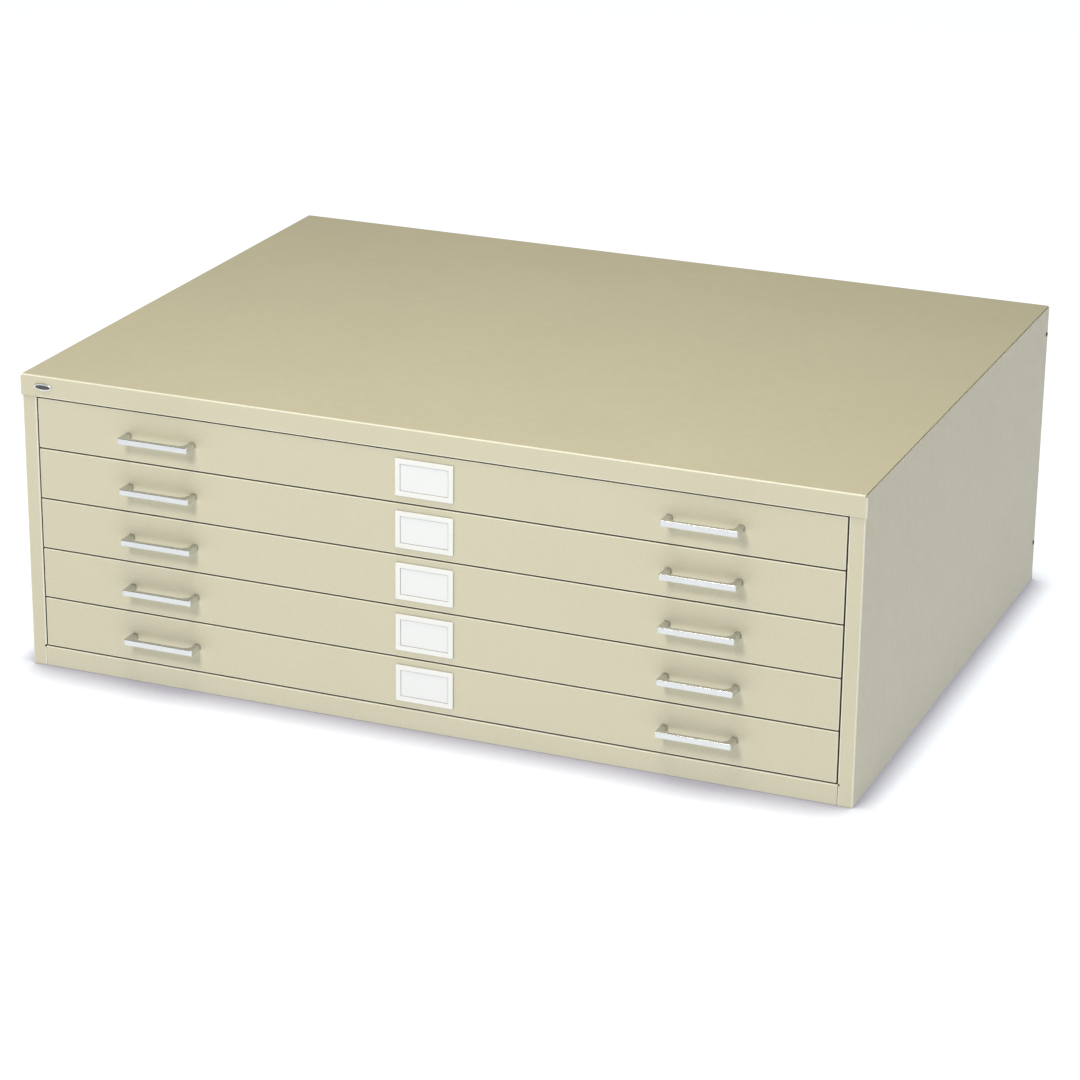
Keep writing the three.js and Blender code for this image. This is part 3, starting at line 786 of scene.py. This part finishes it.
def label_holder(n, body):
    """A moulded frame with a bevelled rim round a shallow pocket, and the blank card in it."""
    node = f"drawer_{n}_label_holder"
    low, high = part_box(node)
    middle = (low.z + high.z) / 2
    width, height = high.x - low.x, high.z - low.z
    face, foot = low.y, FRONT - SEAT
    rim, pocket = 0.00725, 0.0014
    profile = [
        (0, foot, 0.0015),
        (0, face + 0.0008, 0.0015),
        (0.0004, face + 0.0002, 0.0013),
        (0.0010, face, 0.0012),
        (rim - 0.0009, face, 0.0009),
        (rim - 0.0002, face + 0.0004, 0.0006),
        (rim, face + pocket, 0.0005),
    ]
    loops = [rounded_rectangle(width - 2 * s, height - 2 * s, r, y, middle) for s, y, r in profile]
    mesh = bmesh.new()
    loft(mesh, loops)
    outward_faces(mesh)
    make_piece(f"label_frame_{n}", mesh, PLASTIC, body, edge=0.0001, replaces=[node])
    card_width, card_height = width - 2 * rim - 0.0008, height - 2 * rim - 0.0008
    back, front = face + pocket - 0.00005, face + pocket - 0.0004
    card = [(0, back, 0.0006), (0, front + 0.0001, 0.0006), (0.0001, front, 0.0005)]
    loops = [rounded_rectangle(card_width - 2 * s, card_height - 2 * s, r, y, middle) for s, y, r in card]
    mesh = bmesh.new()
    loft(mesh, loops)
    outward_faces(mesh)
    make_piece(f"label_card_{n}", mesh, PAPER, body)


def drawer(n):
    body = f"drawer_{n}"
    hinge = next(joint for joint in frame["joints"] if joint["name"] == f"depressor_{n}_lift")
    pin = Vector(hinge["pos_m"])
    drawer_front(n, body)
    drawer_tray(n, body, pin)
    drawer_hood(n, body)
    depressor(n, pin)
    handle_screws(n, body)
    label_holder(n, body)
    for name, side in SIDES.items():
        drawer_slide(n, name, side, body)
        handle(n, name, body)


# ---- Runners, screws and badge ----
def runner_frame(name, side):
    """Three posts welded to five channels, each with a front roller and two stop lugs."""
    mesh = bmesh.new()
    node = f"runner_frame_{name}"
    low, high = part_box("runner_frame_right")
    panels = []
    for setback in POST_SETBACKS:
        start, end = FRONT + setback, FRONT + setback + POST_WIDTH
        corners = (Vector((CHANNEL_BACK, start, low.z)), Vector((POST_OUTER, end, high.z)))
        panels += box_panels(*corners, [(-1, 0, 0), (0, -1, 0), (1, 0, 0)])
    for n in DRAWERS:
        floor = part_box(f"drawer_{n}_front")[0].z + CHANNEL_RISE
        ceiling = floor + CHANNEL_CLEAR
        corners = (
            Vector((CHANNEL_MOUTH, low.y, floor - RUNNER_GAUGE)),
            Vector((CHANNEL_BACK, high.y, ceiling + RUNNER_GAUGE)),
        )
        panels += box_panels(*corners, [(0, 0, -1), (1, 0, 0), (0, 0, 1)])
    add_panels(mesh, panels, side)
    fold_panels(mesh, RUNNER_BEND, RUNNER_GAUGE)
    make_piece(f"runners_{name}", mesh, ZINC, "cabinet", SHEET_EDGE, [node], RUNNER_GAUGE)
    mesh = bmesh.new()
    web = CHANNEL_BACK - RUNNER_GAUGE
    for n in DRAWERS:
        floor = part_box(f"drawer_{n}_front")[0].z + CHANNEL_RISE
        radius = FRONT_ROLLER["radius"]
        hub = web - ROLLER_CLEAR - ROLLER_WIDTH / 2
        axle = Vector((side * hub, FRONT + FRONT_ROLLER["setback"], floor + ROLLER_LIFT + radius))
        turn(mesh, roller_profile(radius, ROLLER_WIDTH - ROLLER_CLEAR), axle, (side, 0, 0))
        stub = [(0, 0), (0.0032, 0.0002), (AXLE_RADIUS, 0.001), (AXLE_RADIUS, 0.0123), (0, 0.0123)]
        turn(mesh, stub, axle - Vector((side * 0.0061, 0, 0)), (side, 0, 0), segments=28)
        closed = FRONT + REAR_ROLLER["setback"]
        rear_stop = closed + REAR_ROLLER["radius"] + GAP
        front_stop = closed - DRAWER_TRAVEL - REAR_ROLLER["radius"] - GAP - STOP
        upright = (floor + STOP_CLEAR, floor + CHANNEL_CLEAR - STOP_CLEAR)
        for y in (front_stop, rear_stop):
            block(mesh, (web - STOP_DEPTH, web), (y, y + STOP), upright, side)
    outward_faces(mesh)
    make_piece(f"runner_rollers_{name}", mesh, ZINC, "cabinet", 0.0003)


def block(mesh, x_range, y_range, z_range, side):
    """A closed box between two values on each axis."""
    (x0, x1), (y0, y1) = x_range, y_range
    corners = [(x0, y0), (x1, y0), (x1, y1), (x0, y1)]
    rings = []
    for z in z_range:
        rings.append([mesh.verts.new((side * x, y, z)) for x, y in corners])
    bridge(mesh, rings[0], rings[1])
    for ring in rings:
        mesh.faces.new(ring)


def side_screw(level, name, side):
    """A black pan head with a cross recess, and its plain shank."""
    node = f"{level}_side_screw_{name}"
    low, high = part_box(f"{level}_side_screw_right")
    centre = (low + high) / 2
    radius = (high.z - low.z) / 2
    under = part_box("side_panel_right")[1].x
    height = high.x - under
    head = [(0, 0), (radius, 0), (radius, height * 0.35)]
    head += [(r, h + height * 0.35) for r, h in dome(radius * 0.97, height * 0.65)]
    mesh = bmesh.new()
    turn(mesh, head, Vector((side * under, centre.y, centre.z)), (side, 0, 0), segments=32)
    shank = [(0, 0), (0.0012, 0.0003), (0.0018, 0.001), (0.0018, under - low.x), (0, under - low.x)]
    turn(mesh, shank, Vector((side * low.x, centre.y, centre.z)), (side, 0, 0), segments=16)
    outward_faces(mesh)
    screw = make_piece(f"{level}_screw_{name}", mesh, BLACK, "cabinet", replaces=[node])
    cut_recess(screw, Vector((side * high.x, centre.y, centre.z)))
    return screw


def cut_recess(screw, centre):
    """Cuts a cross into a head that faces along X."""
    mesh = bmesh.new()
    arm, width, depth = 0.0019, 0.00045, 0.0007
    for half_y, half_z in ((arm, width), (width, arm)):
        spans = [(centre.x - depth, centre.x + depth), (centre.y - half_y, centre.y + half_y)]
        block(mesh, *spans, (centre.z - half_z, centre.z + half_z), 1)
    outward_faces(mesh)
    data = bpy.data.meshes.new("cutter")
    mesh.to_mesh(data)
    mesh.free()
    cutter = bpy.data.objects.new("cutter", data)
    bpy.context.scene.collection.objects.link(cutter)
    boolean = screw.modifiers.new("recess", "BOOLEAN")
    boolean.object = cutter
    boolean.solver = "EXACT"
    boolean.use_self = True
    while screw.modifiers[0] != boolean:
        screw.modifiers.move(len(screw.modifiers) - 1, 0)
    bpy.context.view_layer.update()
    shaped = bpy.data.meshes.new_from_object(screw.evaluated_get(bpy.context.evaluated_depsgraph_get()))
    screw.modifiers.remove(boolean)
    screw.data = shaped
    bpy.data.objects.remove(cutter)


def badge():
    """A plain oval: a raised satin rim round a dark enamel field."""
    low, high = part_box("badge")
    centre = (low + high) / 2
    half_width, half_height = (high.x - low.x) / 2, (high.z - low.z) / 2
    foot, face = high.y + GAP - SEAT, low.y

    def oval(inset, y):
        angles = [2 * math.pi * i / 48 for i in range(48)]
        across, up = half_width - inset, half_height - inset
        return [(centre.x + across * math.cos(a), y, centre.z + up * math.sin(a)) for a in angles]

    rim = [(0, foot), (0, face + 0.0005), (0.0004, face), (0.0017, face), (0.0020, face + 0.0004)]
    mesh = bmesh.new()
    loft(mesh, [oval(inset, y) for inset, y in rim])
    outward_faces(mesh)
    make_piece("badge_rim", mesh, BADGE_METAL, "cabinet", replaces=["badge"])
    field = [(0.0020, face + 0.00035), (0.0024, face + 0.0002), (0.0032, face + 0.00012)]
    mesh = bmesh.new()
    loft(mesh, [oval(0.0020, face + 0.0006)] + [oval(inset, y) for inset, y in field])
    outward_faces(mesh)
    make_piece("badge_field", mesh, BADGE_ENAMEL, "cabinet")


for number in DRAWERS:
    drawer(number)
for side_name, side_sign in SIDES.items():
    runner_frame(side_name, side_sign)
    for screw_level in ("upper", "lower"):
        side_screw(screw_level, side_name, side_sign)
badge()


# ---- Floor, lights and camera ----
def floor():
    """A plain white floor that glows. A soft shadow is painted into it near what stands on it, reaching
    farthest in front: it darkens the floor's colour, and its glow as the camera sees it.
    """
    nodes = Nodes("floor")
    depth = nodes.add("ShaderNodeSeparateXYZ", Vector=nodes.coordinates).outputs["Y"]
    in_front, beside, blend = 0.105, 0.052, 0.02
    reach = nodes.spread(depth, in_front, beside, start=FRONT - blend, end=FRONT + blend)
    # Painted shadow: ambient occlusion darkens the floor's colour, and its glow as the camera sees it.
    shade = nodes.painted_shade_mask(reach, 0.5, 0.97, samples=16)
    seen = nodes.add("ShaderNodeLightPath").outputs["Is Camera Ray"]
    clear, near = colour(0.92, 0.96, 1.0), colour(0.33, 0.32, 0.36)
    material = nodes.finish(
        Base_Color=nodes.mix(shade, colour(0.12, 0.11, 0.13), colour(0.32, 0.32, 0.32)),
        Roughness=0.9,
        Emission_Color=nodes.mix(seen, clear, nodes.mix(shade, near, clear)),
        Emission_Strength=1.0,
    )
    mesh = bmesh.new()
    half = 30
    corners = [(-half, -half), (half, -half), (half, half), (-half, half)]
    mesh.faces.new([mesh.verts.new((x, y, 0)) for x, y in corners])
    data = bpy.data.meshes.new("floor")
    mesh.to_mesh(data)
    mesh.free()
    data.materials.append(material)
    plane = bpy.data.objects.new("floor", data)
    bpy.context.scene.collection.objects.link(plane)


def area_light(name, place, target, size, power, tint):
    light = bpy.data.lights.new(name, "AREA")
    light.shape = "DISK"
    light.size = size
    light.energy = power
    light.color = tint
    lamp = bpy.data.objects.new(name, light)
    lamp.location = place
    lamp.rotation_mode = "QUATERNION"
    lamp.rotation_quaternion = (Vector(target) - Vector(place)).to_track_quat("-Z", "Y")
    bpy.context.scene.collection.objects.link(lamp)


def studio():
    """A weak grey sky that looks white to the eye, a key light straight ahead and a warmer one above."""
    world = bpy.data.worlds.new("studio")
    world.use_nodes = True
    tree = world.node_tree
    sky = tree.nodes["Background"]
    sky.inputs["Color"].default_value = colour(1, 1, 1)
    sky.inputs["Strength"].default_value = 0.12
    backdrop = tree.nodes.new("ShaderNodeBackground")
    backdrop.inputs["Color"].default_value = colour(1, 1, 1)
    seen = tree.nodes.new("ShaderNodeLightPath")
    choice = tree.nodes.new("ShaderNodeMixShader")
    tree.links.new(seen.outputs["Is Camera Ray"], choice.inputs["Fac"])
    tree.links.new(sky.outputs["Background"], choice.inputs[1])
    tree.links.new(backdrop.outputs["Background"], choice.inputs[2])
    tree.links.new(choice.outputs["Shader"], tree.nodes["World Output"].inputs["Surface"])
    bpy.context.scene.world = world
    area_light(
        "key",
        place=(-0.4, -3.6, 3.0),
        target=(0, -0.3, 0.2),
        size=1.1,
        power=69,
        tint=(1.0, 0.99, 0.95),
    )
    area_light(
        "top",
        place=(0.1, -0.9, 3.2),
        target=(0, -0.3, 0.4),
        size=1.6,
        power=60,
        tint=(1.0, 0.97, 0.82),
    )
    bpy.context.scene.view_settings.view_transform = "Standard"


def camera():
    """Looks at the front and the right side from above, with a slight roll."""
    azimuth, elevation, roll = math.radians(22.14), math.radians(20.62), math.radians(-0.659)
    distance, aim = 4.857, Vector((0.00646, -0.04539, 0.14148))
    back = Vector(
        (
            math.sin(azimuth) * math.cos(elevation),
            -math.cos(azimuth) * math.cos(elevation),
            math.sin(elevation),
        )
    )
    level_right = Vector((0, 0, 1)).cross(back).normalized()
    level_up = back.cross(level_right)
    right = math.cos(roll) * level_right - math.sin(roll) * level_up
    up = back.cross(right)
    data = bpy.data.cameras.new("camera")
    data.sensor_width = 36
    data.lens = 115.93
    view = bpy.data.objects.new("camera", data)
    turned = Matrix((right, up, back)).transposed().to_4x4()
    view.matrix_world = Matrix.Translation(aim + back * distance) @ turned
    bpy.context.scene.collection.objects.link(view)
    bpy.context.scene.camera = view


floor()
studio()
camera()
